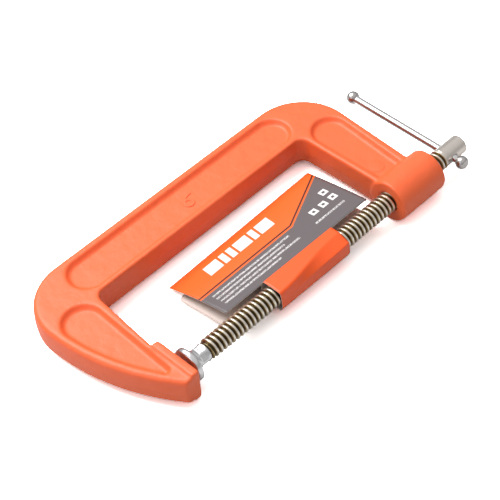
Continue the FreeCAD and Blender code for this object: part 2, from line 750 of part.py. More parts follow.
# Hang tag: a printed card whose tab is folded round the screw

hang_tag = new_body("hang_tag")
shape = new_sketch(hang_tag, "loop_shape", "YZ_Plane", "sizes.loop_start")
closed_path(
    shape,
    [
        ("loop_out_other", "loop_out_other"),
        ("loop_out", "loop_out_other"),
        ("loop_out", "loop_out"),
        ("loop_out_other", "loop_out"),
    ],
)
closed_path(
    shape,
    [
        ("loop_in_other", "loop_in_other"),
        ("loop_in", "loop_in_other"),
        ("loop_in", "loop_in"),
        ("loop_in_other", "loop_in"),
    ],
)
pad(hang_tag, shape, "loop", "sizes.loop_length")
shape = new_sketch(hang_tag, "panel_shape", "YZ_Plane", "sizes.tag_start")
closed_path(
    shape,
    [
        ("loop_in", "tag_join_low_z"),
        ("tag_far_y", "tag_far_low_z"),
        ("tag_far_y", "tag_far_z"),
        ("loop_in", "tag_join"),
    ],
)
pad(hang_tag, shape, "panel", "sizes.tag_length")


# Check and write every sub-part

def check(bodies):
    for item in doc.Objects:
        if "Invalid" in item.State or "Error" in item.State:
            raise RuntimeError(item.Name + " is in error")
    for body in bodies:
        if body.Shape.isNull() or not body.Shape.isValid():
            raise RuntimeError(body.Label + " has no valid shape")
        if len(body.Shape.Solids) != 1:
            raise RuntimeError(body.Label + " is not one solid")


doc.recompute()
bodies = [frame, screw, swivel_pad, tommy_bar, end_knob, hang_tag]
check(bodies)
os.makedirs("parts", exist_ok=True)
for body in bodies:
    body.Shape.exportStep("parts/%s.step" % body.Label)
    print(body.Label, round(body.Shape.Volume, 1), body.Shape.BoundBox)
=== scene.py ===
import math

import bpy
import numpy as np
from mathutils import Matrix, Vector


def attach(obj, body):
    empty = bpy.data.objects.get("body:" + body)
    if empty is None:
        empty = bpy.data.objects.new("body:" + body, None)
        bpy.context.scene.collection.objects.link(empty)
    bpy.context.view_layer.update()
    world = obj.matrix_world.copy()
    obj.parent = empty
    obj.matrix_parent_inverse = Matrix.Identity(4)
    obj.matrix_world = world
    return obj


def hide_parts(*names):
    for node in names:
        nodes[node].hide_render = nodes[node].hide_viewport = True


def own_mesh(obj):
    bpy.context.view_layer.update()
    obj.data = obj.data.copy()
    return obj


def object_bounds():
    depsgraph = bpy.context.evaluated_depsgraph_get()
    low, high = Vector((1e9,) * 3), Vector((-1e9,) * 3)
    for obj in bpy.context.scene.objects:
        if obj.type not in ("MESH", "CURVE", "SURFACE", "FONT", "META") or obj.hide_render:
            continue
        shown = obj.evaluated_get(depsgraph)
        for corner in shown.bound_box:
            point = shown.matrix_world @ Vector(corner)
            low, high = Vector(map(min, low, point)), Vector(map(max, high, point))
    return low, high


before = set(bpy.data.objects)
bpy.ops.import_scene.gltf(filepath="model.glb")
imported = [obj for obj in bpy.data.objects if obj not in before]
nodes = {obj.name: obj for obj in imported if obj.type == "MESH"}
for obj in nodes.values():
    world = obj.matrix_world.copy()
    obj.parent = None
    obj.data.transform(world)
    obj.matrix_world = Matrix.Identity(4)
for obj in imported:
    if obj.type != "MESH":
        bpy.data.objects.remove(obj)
cad_low, cad_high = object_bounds()


# Frame casting
# One malleable iron casting, sand cast in two halves and powder coated orange. The coat
# softens every edge and leaves a faint orange-peel skin over the grain of the sand.

def new_material(name):
    """An empty node material: returns it, its tree and its Principled shader."""
    material = bpy.data.materials.new(name)
    material.use_nodes = True
    tree = material.node_tree
    return material, tree, tree.nodes["Principled BSDF"]


def put(socket, value):
    """Sets an input to a value, or links it to another node's output."""
    if isinstance(value, bpy.types.NodeSocket):
        socket.id_data.links.new(value, socket)
    else:
        socket.default_value = value


def add_node(tree, kind, inputs=None, **settings):
    """A node with its settings, whose inputs are set to values or linked to sockets."""
    item = tree.nodes.new(kind)
    for key, value in settings.items():
        setattr(item, key, value)
    for key, value in (inputs or {}).items():
        put(item.inputs[key], value)
    return item


def new_group(name, ins, outs):
    """An empty node group with float inputs and the given outputs."""
    group = bpy.data.node_groups.new(name, "ShaderNodeTree")
    for label in ins:
        group.interface.new_socket(label, in_out="INPUT", socket_type="NodeSocketFloat")
    for label, kind in outs:
        group.interface.new_socket(label, in_out="OUTPUT", socket_type=kind)
    return group, group.nodes.new("NodeGroupInput"), group.nodes.new("NodeGroupOutput")


def make_skin():
    """Bump of a cast, coated or turned skin: fine peel over a broad unevenness."""
    labels = ["Fine scale", "Fine depth", "Broad scale", "Broad depth"]
    group, start, end = new_group("skin", labels, [("Normal", "NodeSocketVector")])
    place = add_node(group, "ShaderNodeTexCoord").outputs["Object"]
    normal = None
    for size in ("Broad", "Fine"):
        noise = add_node(group, "ShaderNodeTexNoise", {
            "Vector": place, "Scale": start.outputs[size + " scale"], "Detail": 3.0})
        bump = add_node(group, "ShaderNodeBump", {
            "Height": noise.outputs["Fac"], "Distance": start.outputs[size + " depth"], "Strength": 1.0})
        if normal:
            put(bump.inputs["Normal"], normal)
        normal = bump.outputs["Normal"]
    put(end.inputs["Normal"], normal)
    return group


skin = make_skin()


def skin_normal(tree, fine_scale, fine_depth, broad_scale, broad_depth):
    """The skin group with its four values, as a normal for a shader. Scales are per metre."""
    item = add_node(tree, "ShaderNodeGroup", {}, node_tree=skin)
    for key, value in zip(("Fine scale", "Fine depth", "Broad scale", "Broad depth"),
                          (fine_scale, fine_depth, broad_scale, broad_depth)):
        item.inputs[key].default_value = value
    return item.outputs["Normal"]


def dress(obj, material):
    """Gives the object one material."""
    obj.data.materials.clear()
    obj.data.materials.append(material)


COAT_DEEP = (0.88, 0.126, 0.033, 1)
COAT_PALE = (0.94, 0.152, 0.044, 1)
COAT_VOXEL = 0.00083
COAT_SOFTENING = 4

coat, tree, shader = new_material("orange_powder_coat")
place = add_node(tree, "ShaderNodeTexCoord").outputs["Object"]
cloud = add_node(tree, "ShaderNodeTexNoise", {"Vector": place, "Scale": 22.0, "Detail": 4.0})
tint = add_node(tree, "ShaderNodeMix", {"Factor": cloud.outputs["Fac"]}, data_type="RGBA")
tint.inputs["A"].default_value = COAT_DEEP
tint.inputs["B"].default_value = COAT_PALE
put(shader.inputs["Base Color"], tint.outputs["Result"])
put(shader.inputs["Roughness"], 0.44)
put(shader.inputs["IOR"], 1.5)
put(shader.inputs["Normal"], skin_normal(tree, 900.0, 0.00008, 130.0, 0.0005))

casting = nodes["frame"]
dress(casting, coat)
remesh = casting.modifiers.new("even_skin", "REMESH")
remesh.mode = "VOXEL"
remesh.voxel_size = COAT_VOXEL
remesh.use_smooth_shade = True
soften = casting.modifiers.new("thick_coat", "SMOOTH")
soften.factor = 0.5
soften.iterations = COAT_SOFTENING


def grid_faces(rows, cols, closed):
    """Quads of a rows by cols grid of points; closed joins the last column to the first."""
    index = np.arange(rows * cols).reshape(rows, cols)
    if closed:
        index = np.hstack([index, index[:, :1]])
    quads = [index[:-1, :-1], index[:-1, 1:], index[1:, 1:], index[1:, :-1]]
    return np.stack([q.ravel() for q in quads], axis=1)


def mesh_piece(name, points, faces, smooth=True):
    """An object at the origin made from points and quads."""
    mesh = bpy.data.meshes.new(name)
    mesh.from_pydata(points.tolist(), [], faces.tolist())
    mesh.polygons.foreach_set("use_smooth", [smooth] * len(mesh.polygons))
    mesh.validate()
    mesh.update()
    obj = bpy.data.objects.new(name, mesh)
    bpy.context.scene.collection.objects.link(obj)
    return obj


PANEL_FLOOR = 0.0064
POLE = 0.00001
FIGURE_PLACE = (0.0850, 0.0835, PANEL_FLOOR)
FIGURE_SIZE = 0.0165
FIGURE_RISE = 0.0002
FIGURE_ROUND = 0.00022
FIGURE_TURN = math.radians(-35)
PLUG_PLACE = (0.1775, 0.0200, PANEL_FLOOR)
PLUG_RADIUS = 0.0047
PLUG_RISE = 0.0002
PLUG_SINK = 0.0004


def cast_figure(name, text, place):
    """A raised figure on a panel floor, as the pattern leaves it, with a rounded edge."""
    curve = bpy.data.curves.new(name, "FONT")
    curve.body = text
    curve.size = FIGURE_SIZE
    curve.extrude = FIGURE_RISE
    curve.bevel_depth = FIGURE_ROUND
    curve.bevel_resolution = 2
    curve.resolution_u = 6
    curve.align_x = "CENTER"
    curve.align_y = "CENTER"
    draft = bpy.data.objects.new(name + "_draft", curve)
    mesh = bpy.data.meshes.new_from_object(draft)
    bpy.data.objects.remove(draft)
    mesh.transform(Matrix.Translation(place) @ Matrix.Rotation(FIGURE_TURN, 4, "Z"))
    obj = bpy.data.objects.new(name, mesh)
    bpy.context.scene.collection.objects.link(obj)
    dress(obj, coat)
    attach(obj, "frame")


cast_figure("cast_size_figure", "6", FIGURE_PLACE)


def plug_mark(place, around=64):
    """The print of a core plug: a low round pad with a rounded edge, sunk a little into its floor."""
    rise = np.array([-PLUG_SINK, 0.3 * PLUG_RISE, 0.85 * PLUG_RISE, PLUG_RISE, PLUG_RISE])
    inward = np.array([0, 0, 0.3 * PLUG_RISE, PLUG_RISE, PLUG_RADIUS - POLE])
    reach = PLUG_RADIUS - inward
    angle = np.linspace(0, 2 * np.pi, around, endpoint=False)
    x = place[0] + reach[:, None] * np.cos(angle)
    y = place[1] + reach[:, None] * np.sin(angle)
    z = place[2] + np.repeat(rise[:, None], around, axis=1)
    points = np.stack([x, y, z], axis=-1).reshape(-1, 3)
    obj = mesh_piece("cast_plug_mark", points, grid_faces(len(rise), around, True))
    dress(obj, coat)
    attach(obj, "frame")


plug_mark(PLUG_PLACE)


# Screw
# One rod of bright steel: a rolled right-hand thread of eight turns to the inch, a ball end
# that carries the pad, and a plain satin head, turned and cross-drilled for the bar.

MM = 0.001
SHANK_START = 17.0 * MM
SHANK_END = 211.2 * MM
HEAD_END = 228.9 * MM
HEAD_RADIUS = 6.1 * MM
HEAD_OVERLAP = 0.3 * MM
BAR_X = 217.6 * MM
DRILL_RADIUS = 2.5 * MM
DRILL_REACH = 12.0 * MM
CREST = 6.35 * MM
DEPTH = 1.55 * MM
PITCH = 3.175 * MM
RUN_OUT = 1.4 * MM
CREST_STEEL = (0.72, 0.67, 0.58, 1)
# The flank and root colours are painted shade for the grooves of the thread; the crest colour is the
# steel.
FLANK_PAINTED_SHADE = (0.46, 0.34, 0.16, 1)
ROOT_PAINTED_SHADE = (0.05, 0.035, 0.02, 1)
HEAD_DARK = (0.54, 0.49, 0.445, 1)
HEAD_LIGHT = (0.76, 0.70, 0.645, 1)


def thread_shank(start, end, around=72, per_turn=16):
    """A threaded rod along X.

    Radius = crest - depth * groove(u), where u is the part of a turn that x is ahead of the
    helix through its angle, and groove rises smoothly from 0 at the crest to 1 at the root.
    At the start the radius comes up from the root over the run-out; the end lies in the head.
    """
    x = np.append(np.arange(start, end, PITCH / per_turn), end)
    angle = np.linspace(0, 2 * np.pi, around, endpoint=False)
    xx, aa = np.meshgrid(x, angle, indexing="ij")
    u = np.mod(xx / PITCH - aa / (2 * np.pi), 1.0)
    side = np.abs(u - 0.5) * 2
    groove = 1 - np.clip((side - 0.22) / 0.50, 0, 1)
    groove = groove * groove * (3 - 2 * groove)
    r = CREST - DEPTH * groove
    lead = np.clip((xx - start) / RUN_OUT, 0, 1)
    r = np.minimum(r, CREST - DEPTH * (1 - lead))
    points = np.stack([xx, r * np.cos(aa), r * np.sin(aa)], axis=-1).reshape(-1, 3)
    depth = ((CREST - r) / DEPTH).ravel()
    return points, grid_faces(len(x), around, True), depth


points, faces, depth = thread_shank(SHANK_START, SHANK_END)
thread = mesh_piece("screw_thread", points, faces)
store = thread.data.attributes.new("groove_depth", "FLOAT", "POINT")
store.data.foreach_set("value", depth.astype(np.float32))

steel, tree, shader = new_material("rolled_thread")
# Painted shade: the base colour darkens with groove depth, from the crest down the flanks to a
# near-black root.
groove = add_node(tree, "ShaderNodeAttribute", attribute_name="groove_depth").outputs["Fac"]
ramp = add_node(tree, "ShaderNodeValToRGB", {"Fac": groove})
ramp.color_ramp.elements[0].position = 0.0
ramp.color_ramp.elements[0].color = CREST_STEEL
ramp.color_ramp.elements[1].position = 1.0
ramp.color_ramp.elements[1].color = ROOT_PAINTED_SHADE
ramp.color_ramp.elements.new(0.42).color = FLANK_PAINTED_SHADE
put(shader.inputs["Base Color"], ramp.outputs["Color"])
put(shader.inputs["Metallic"], 1.0)
put(shader.inputs["Roughness"], 0.3)
put(shader.inputs["Normal"], skin_normal(tree, 2200.0, 0.00003, 300.0, 0.00005))
dress(thread, steel)
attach(thread, "spindle")

satin, tree, shader = new_material("satin_head")
place = add_node(tree, "ShaderNodeTexCoord").outputs["Object"]
stretch = add_node(tree, "ShaderNodeMapping", {"Vector": place, "Scale": (2600.0, 240.0, 240.0)})
rings = add_node(tree, "ShaderNodeTexNoise", {
    "Vector": stretch.outputs["Vector"], "Scale": 1.0, "Detail": 2.0})
shade = add_node(tree, "ShaderNodeMix", {"Factor": rings.outputs["Fac"]}, data_type="RGBA")
shade.inputs["A"].default_value = HEAD_DARK
shade.inputs["B"].default_value = HEAD_LIGHT
put(shader.inputs["Base Color"], shade.outputs["Result"])
put(shader.inputs["Metallic"], 1.0)
put(shader.inputs["Roughness"], 0.32)
put(shader.inputs["Normal"], skin_normal(tree, 2600.0, 0.00003, 260.0, 0.00006))

rod = nodes["screw"]
dress(rod, satin)
corners = np.empty(len(rod.data.vertices) * 3, dtype=np.float32)
rod.data.vertices.foreach_get("co", corners)
ball_end = rod.vertex_groups.new(name="ball_end")
ball_end.add(np.nonzero(corners[0::3] < SHANK_START - 0.1 * MM)[0].tolist(), 1.0, "REPLACE")
mask = rod.modifiers.new("shank_and_head_shown_apart", "MASK")
mask.vertex_group = "ball_end"


def ring_points(stations, around):
    """Points of rings round an axis, from a distance along it and a radius for each ring."""
    angle = np.linspace(0, 2 * np.pi, around, endpoint=False)
    along = np.repeat(stations[:, :1], around, axis=1)
    radius = np.repeat(stations[:, 1:], around, axis=1)
    return along, radius * np.cos(angle), radius * np.sin(angle)


def drilled_head():
    """The plain head: rings along the screw with a chamfer at each end, cross-drilled along Y."""
    start = SHANK_END - HEAD_OVERLAP
    reach = [(start, POLE), (start, HEAD_RADIUS - 0.5 * MM)]
    reach += [(SHANK_END + 0.2 * MM, HEAD_RADIUS), (SHANK_END + 0.6 * MM, HEAD_RADIUS)]
    reach += [(x, HEAD_RADIUS) for x in np.linspace(SHANK_END + 1.5 * MM, HEAD_END - 1.1 * MM, 9)]
    reach += [(HEAD_END - 0.75 * MM, HEAD_RADIUS), (HEAD_END - 0.35 * MM, HEAD_RADIUS - 0.15 * MM)]
    reach += [(HEAD_END - 0.1 * MM, HEAD_RADIUS - 0.4 * MM), (HEAD_END, HEAD_RADIUS - 0.7 * MM)]
    reach += [(HEAD_END, POLE)]
    along, across, up = ring_points(np.array(reach), 96)
    points = np.stack([along, across, up], axis=-1).reshape(-1, 3)
    body = mesh_piece("screw_head", points, grid_faces(len(reach), 96, True))
    reach = [(-DRILL_REACH, POLE), (-DRILL_REACH, DRILL_RADIUS)]
    reach += [(DRILL_REACH, DRILL_RADIUS), (DRILL_REACH, POLE)]
    along, across, up = ring_points(np.array(reach), 48)
    points = np.stack([BAR_X + up, along, across], axis=-1).reshape(-1, 3)
    drill = mesh_piece("drill", points, grid_faces(len(reach), 48, True))
    cut = body.modifiers.new("bar_hole", "BOOLEAN")
    cut.object = drill
    cut.solver = "EXACT"
    graph = bpy.context.evaluated_depsgraph_get()
    drilled = bpy.data.meshes.new_from_object(body.evaluated_get(graph))
    body.modifiers.clear()
    body.data = drilled
    bpy.data.objects.remove(drill, do_unlink=True)
    return body


head = drilled_head()
dress(head, satin)
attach(head, "spindle")


# Swivel pad
# A turned and zinc-plated cup: a thin flat disc, a cone behind it and a collar that is
# crimped in six places round the ball of the screw.

def lathe_x(name, profile, around=96, flats=None):
    """A ring surface round the X axis through (x, radius) stations in millimetres.

    Between the two x limits in flats the radius is held to the sides of a soft hexagon.
    """
    stations = np.array(profile) * MM
    angle = np.linspace(0, 2 * np.pi, around, endpoint=False)
    x = np.repeat(stations[:, :1], around, axis=1)
    r = np.repeat(stations[:, 1:], around, axis=1)
    if flats:
        low, high, reach = [v * MM for v in flats]
        turn = np.mod(angle, np.pi / 3) - np.pi / 6
        side = reach / np.cos(turn)
        inside = (x > low) & (x < high)
        r = np.where(inside, np.minimum(r, side[None, :]), r)
    points = np.stack([x, r * np.cos(angle), r * np.sin(angle)], axis=-1).reshape(-1, 3)
    return mesh_piece(name, points, grid_faces(len(stations), around, True))


COLLAR_FLATS = (9.45, 15.2, 5.3)
pad_profile = [
    (2.2, 0.001), (2.2, 6.0), (2.2, 8.9), (2.35, 9.4), (2.7, 9.85), (3.2, 10.2), (3.8, 10.4),
    (4.6, 10.45), (5.4, 10.4), (5.8, 10.2), (6.05, 9.8), (6.15, 9.3), (6.3, 8.4), (6.6, 7.4),
    (7.1, 6.7), (7.9, 6.2), (9.0, 5.9), (9.3, 5.9), (9.6, 5.88), (10.4, 5.85), (12.5, 5.85),
    (14.6, 5.85), (15.3, 5.85), (15.8, 5.8), (16.2, 5.6), (16.4, 5.3), (16.5, 4.9), (16.5, 3.5),
    (16.3, 3.36), (12.0, 3.36), (11.0, 3.36), (10.4, 3.5), (9.0, 3.76), (7.6, 3.51), (6.4, 2.76),
    (5.6, 1.7), (5.2, 0.001),
]
cup = lathe_x("pad_cup", pad_profile, 96, COLLAR_FLATS)
zinc, tree, shader = new_material("zinc_plate")
put(shader.inputs["Base Color"], (0.64, 0.64, 0.65, 1))
put(shader.inputs["Metallic"], 1.0)
put(shader.inputs["Roughness"], 0.24)
put(shader.inputs["Normal"], skin_normal(tree, 2400.0, 0.00003, 300.0, 0.00008))
dress(cup, zinc)
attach(cup, "pad_carrier")
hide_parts("swivel_pad")


# Tommy bar and end knob
# A bright plated rod with one end upset into a round knob; the other knob is pressed on
# after the bar has passed through the head of the screw.

def lathe_y(name, profile, around=64):
    """A ring surface along Y, round X = BAR_X, through (y, radius) stations in millimetres."""
    stations = np.array(profile) * MM
    along, across, up = ring_points(stations, around)
    points = np.stack([BAR_X + up, along, across], axis=-1).reshape(-1, 3)
    return mesh_piece(name, points, grid_faces(len(stations), around, True))


def ball(centre, radius, start, end, steps=20):
    """Stations of a ball between two distances a from its centre: sqrt(radius^2 - a^2)."""
    along = radius * np.sin(np.linspace(math.asin(start / radius), math.asin(end / radius), steps))
    return [(centre + a, math.sqrt(radius * radius - a * a)) for a in along]


chrome, tree, shader = new_material("bright_plate")
put(shader.inputs["Base Color"], (0.60, 0.585, 0.58, 1))
put(shader.inputs["Metallic"], 1.0)
put(shader.inputs["Roughness"], 0.17)
put(shader.inputs["Normal"], skin_normal(tree, 1500.0, 0.000015, 160.0, 0.00006))

# Same plating as the bar: the darker base colour is painted shade on the knobs; the rougher satin is
# their own.
knob_shaded_plate, tree, shader = new_material("knob_plate_painted_shade")
put(shader.inputs["Base Color"], (0.46, 0.44, 0.43, 1))
put(shader.inputs["Metallic"], 1.0)
put(shader.inputs["Roughness"], 0.24)
put(shader.inputs["Normal"], skin_normal(tree, 1500.0, 0.00002, 160.0, 0.00008))

BAR_RADIUS = 2.4
SPIGOT_RADIUS = 1.7
KNOB_NECK = 72.1

profile = [(-12.8, 0.001), (-12.8, SPIGOT_RADIUS), (-8.2, SPIGOT_RADIUS)]
profile += [(-8.2, 2.3), (-8.1, BAR_RADIUS)]
profile += [(y, BAR_RADIUS) for y in np.linspace(-4, 66, 15)]
profile += [(69.5, BAR_RADIUS), (71.0, 2.42), (71.7, 2.5), (KNOB_NECK, 2.62)]
profile += ball(75.0, 4.1, -2.75, 3.2)
profile += [(78.25, 2.5), (78.25, 0.001)]
bar = lathe_y("bar_rod", profile)
dress(bar, chrome)
bar.data.materials.append(knob_shaded_plate)
centres = np.empty(len(bar.data.polygons) * 3, dtype=np.float32)
bar.data.polygons.foreach_get("center", centres)
bar.data.polygons.foreach_set("material_index", (centres[1::3] > KNOB_NECK * MM).astype(np.int32))
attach(bar, "bar")
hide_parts("tommy_bar")

profile = [(-14.22, 0.001), (-14.22, 2.5)] + ball(-11.3, 4.05, -2.9, 3.0)
profile += [(-8.2, 2.55), (-8.2, 1.75), (-8.3, SPIGOT_RADIUS)]
profile += [(-12.8, SPIGOT_RADIUS), (-12.8, 0.001)]
knob = lathe_y("bar_end_knob", profile)
dress(knob, knob_shaded_plate)
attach(knob, "bar")
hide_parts("end_knob")


# Hang tag
# Printed card, folded: a panel that lies towards the spine, a bare leaf that shows under it,
# and a narrower tab over and round the screw. The print is a plain band over a ruled field.

CARD = 0.35 * MM
PANEL_X = (40.6, 155.6)
TAB_X = (68.5, 123.5)
TAB_ROWS = 41
TAB_STEPS = 121
LEAF_X = (38.2, 153.0)
LEAF_EDGE = 46.0
LEAF_CORNER = 4.0


def thicken(name, surface, across):
    """A card of even thickness laid on a grid of points, closed round its edge, with a UV map.

    across holds the place of each point over the print, from 0 to 1 each way.
    """
    rows, cols, _ = surface.shape
    along_rows = np.gradient(surface, axis=0)
    along_cols = np.gradient(surface, axis=1)
    normal = np.cross(along_rows, along_cols)
    normal /= np.linalg.norm(normal, axis=2, keepdims=True)
    top = (surface + normal * CARD / 2).reshape(-1, 3)
    back = (surface - normal * CARD / 2).reshape(-1, 3)
    index = np.arange(rows * cols).reshape(rows, cols)
    quads = [index[:-1, :-1], index[1:, :-1], index[1:, 1:], index[:-1, 1:]]
    front = np.stack(quads, axis=-1).reshape(-1, 4)
    behind = front[:, ::-1] + rows * cols
    loop = np.concatenate([index[0, :-1], index[:-1, -1], index[-1, :0:-1], index[:0:-1, 0]])
    after = np.roll(loop, -1)
    edge = np.stack([loop, after, after + rows * cols, loop + rows * cols], axis=1)
    faces = np.vstack([front, behind, edge])
    obj = mesh_piece(name, np.vstack([top, back]), faces)
    layer = obj.data.uv_layers.new(name="print")
    uv = across.reshape(-1, 2)
    uv = np.vstack([uv, uv])
    corners = np.empty(len(obj.data.loops), dtype=np.int32)
    obj.data.loops.foreach_get("vertex_index", corners)
    layer.data.foreach_set("uv", uv[corners].astype(np.float32).ravel())
    side = obj.data.attributes.new("printed", "FLOAT", "FACE")
    flags = np.zeros(len(faces), dtype=np.float32)
    flags[: len(front)] = 1.0
    side.data.foreach_set("value", flags)
    return obj


def panel_surface():
    """The panel: falls from the screw towards the spine, with a slight curl and a twist.

    Height = near edge height - fall * v, plus a lift towards the far boss corner and a bow
    across the card; u runs along the screw and v across the print, both from 0 to 1.
    """
    u, v = np.meshgrid(np.linspace(0, 1, 61), np.linspace(0, 1, 33), indexing="ij")
    x = PANEL_X[0] + (PANEL_X[1] - PANEL_X[0]) * u
    y = 8.2 + 47.3 * v
    z = 3.6 - 15.0 * v + 5.4 * u * v + 1.3 * np.sin(np.pi * v) * (1 - 0.5 * u)
    points = np.stack([x, y, z], axis=-1) * MM
    return points, np.stack([u, v], axis=-1)


def tab_surface():
    """The tab: a creased band carried once round the screw.

    The section is a path of corner points (y, z), walked at an even pace; its front crease
    runs across the tab, from near the edge at the pad end to over the screw at the boss end,
    and a slight pucker follows it.
    """
    rise = [(8.8, 3.2), (6.6, 6.9)]
    near = [(1.0, 7.2), (-5.6, 7.1), (-6.6, 6.1), (-7.3, 1.0), (-7.5, -4.4)]
    far = [(3.4, 7.2), (1.2, 7.35), (0.4, 7.3), (-7.4, 4.3), (-7.7, -3.6)]
    under = [(-6.0, -7.3), (-2.0, -7.7), (4.5, -7.6), (7.2, -5.4), (8.4, -1.0), (9.0, 2.0)]
    near = np.array(rise + near + under)
    far = np.array(rise + far + under)
    rows = []
    for share in np.linspace(0, 1, TAB_ROWS):
        lean = share * share * (3 - 2 * share)
        path = near * (1 - lean) + far * lean
        path[4:7, 0] -= 0.25 * np.sin(3 * np.pi * share) * np.array([0.3, 1.0, 0.4])
        steps = np.concatenate([[0], np.cumsum(np.linalg.norm(np.diff(path, axis=0), axis=1))])
        walk = np.linspace(0, steps[-1], TAB_STEPS)
        y = np.interp(walk, steps, path[:, 0])
        z = np.interp(walk, steps, path[:, 1])
        rows.append(np.stack([y, z], axis=-1))
    section = np.array(rows)
    x = np.repeat(np.linspace(TAB_X[0], TAB_X[1], TAB_ROWS)[:, None], TAB_STEPS, axis=1)
    u, v = np.meshgrid(np.linspace(0, 1, TAB_ROWS), np.linspace(0, 1, TAB_STEPS), indexing="ij")
    points = np.stack([x, section[..., 0], section[..., 1]], axis=-1) * MM
    return points, np.stack([u, v], axis=-1)


def leaf_surface():
    """The back leaf: lies lower than the panel, with rounded corners at its free edge.

    Depth falls evenly from the loop to the free edge; near that edge the ends are drawn in
    by radius - sqrt(radius^2 - t^2), where t is the distance past the start of the corner.
    """
    u, v = np.meshgrid(np.linspace(0, 1, 41), np.linspace(0, 1, 41), indexing="ij")
    y = 9.7 + 36.3 * v
    z = -4.9 - 6.9 * v + 0.5 * np.sin(np.pi * v)
    past = np.clip(y - (LEAF_EDGE - LEAF_CORNER), 0, LEAF_CORNER)
    inset = LEAF_CORNER - np.sqrt(np.maximum(LEAF_CORNER ** 2 - past ** 2, 0))
    x = LEAF_X[0] + inset + (LEAF_X[1] - LEAF_X[0] - 2 * inset) * u
    return np.stack([x, y, z], axis=-1) * MM, np.stack([u, v], axis=-1)


surface, across = panel_surface()
panel = thicken("tag_panel", surface, across)
surface, across = leaf_surface()
leaf = thicken("tag_back_leaf", surface, across)
surface, across = tab_surface()
tab = thicken("tag_tab", surface[:, ::-1], across[:, ::-1])


def step(tree, value, edge, above=True):
    """1 where the value is above the edge, or below it."""
    kind = "GREATER_THAN" if above else "LESS_THAN"
    item = add_node(tree, "ShaderNodeMath", operation=kind)
    put(item.inputs[0], value)
    put(item.inputs[1], edge)
    return item.outputs[0]


def combine(tree, first, second, how="MULTIPLY"):
    """first times second, or what the operation named by how makes of the two."""
    item = add_node(tree, "ShaderNodeMath", operation=how)
    put(item.inputs[0], first)
    put(item.inputs[1], second)
    return item.outputs[0]


def box_mask(tree, u, v, low_u, high_u, low_v, high_v):
    """1 inside a rectangle of the print."""
    left = step(tree, u, low_u)
    right = step(tree, u, high_u, False)
    low = step(tree, v, low_v)
    high = step(tree, v, high_v, False)
    return combine(tree, combine(tree, left, right), combine(tree, low, high))


def layer_over(tree, under, mask, colour):
    """under * (1 - mask) + colour * mask."""
    item = add_node(tree, "ShaderNodeMix", {"Factor": mask}, data_type="RGBA")
    put(item.inputs["A"], under)
    put(item.inputs["B"], colour)
    return item.outputs["Result"]


ORANGE = (0.93, 0.135, 0.018, 1)
GREY = (0.125, 0.108, 0.112, 1)
WHITE = (0.86, 0.85, 0.84, 1)
DARK = (0.06, 0.02, 0.012, 1)
PALE = (0.62, 0.60, 0.60, 1)
BARE = (0.66, 0.56, 0.51, 1)
TAB_ORANGE = (0.95, 0.105, 0.012, 1)
BAND_LEVEL = 0.42
BAND_BEND = 0.64
BAND_SLOPE = 1.25
STRIPE_HIGH = 0.055
STRIPE_LOW = 0.028


def printed_side(tree, colour):
    """The colour on the outer side of the card, and the bare board on its inner side."""
    outer = add_node(tree, "ShaderNodeAttribute", attribute_name="printed").outputs["Fac"]
    return layer_over(tree, BARE, outer, colour)


card, tree, shader = new_material("printed_card")
uv = add_node(tree, "ShaderNodeUVMap", uv_map="print").outputs["UV"]
split = add_node(tree, "ShaderNodeSeparateXYZ", {"Vector": uv})
u, v = split.outputs["X"], split.outputs["Y"]
slope = combine(tree, combine(tree, u, BAND_BEND, "SUBTRACT"), BAND_SLOPE)
level = combine(tree, combine(tree, slope, 0.0, "MAXIMUM"), BAND_LEVEL, "ADD")
colour = layer_over(tree, ORANGE, step(tree, v, combine(tree, level, STRIPE_HIGH, "ADD"), False), DARK)
colour = layer_over(tree, colour, step(tree, v, combine(tree, level, STRIPE_LOW, "ADD"), False), ORANGE)
colour = layer_over(tree, colour, step(tree, v, level, False), GREY)
lean = combine(tree, u, combine(tree, v, 0.08), "SUBTRACT")
BARS = [(0.11, 0.20), (0.215, 0.25), (0.265, 0.30), (0.315, 0.405), (0.42, 0.455), (0.47, 0.56)]
for low_u, high_u in BARS:
    colour = layer_over(tree, colour, box_mask(tree, lean, v, low_u, high_u, 0.66, 0.86), WHITE)
comb = add_node(tree, "ShaderNodeTexNoise", {"Vector": uv, "Scale": 90.0, "Detail": 1.0})
broken = step(tree, comb.outputs["Fac"], 0.45)
RULES = [(0.05, 0.58, 0.33), (0.05, 0.52, 0.26), (0.05, 0.60, 0.19), (0.05, 0.44, 0.12)]
RULES += [(0.72, 0.93, 0.20)]
for low_u, high_u, at in RULES:
    line = combine(tree, box_mask(tree, u, v, low_u, high_u, at, at + 0.03), broken)
    colour = layer_over(tree, colour, line, PALE)
TILES = [(0.76, 0.34), (0.83, 0.34), (0.90, 0.34), (0.90, 0.50)]
for at_u, at_v in TILES:
    colour = layer_over(tree, colour, box_mask(tree, u, v, at_u, at_u + 0.042, at_v, at_v + 0.10), WHITE)
    hole = box_mask(tree, u, v, at_u + 0.012, at_u + 0.030, at_v + 0.03, at_v + 0.07)
    colour = layer_over(tree, colour, hole, GREY)
put(shader.inputs["Base Color"], printed_side(tree, colour))
put(shader.inputs["Roughness"], 0.38)
put(shader.inputs["Normal"], skin_normal(tree, 1400.0, 0.00001, 60.0, 0.0002))
dress(panel, card)

plain_card, tree, shader = new_material("plain_card")
put(shader.inputs["Base Color"], printed_side(tree, TAB_ORANGE))
put(shader.inputs["Roughness"], 0.38)
put(shader.inputs["Normal"], skin_normal(tree, 1400.0, 0.00001, 60.0, 0.0002))
dress(tab, plain_card)

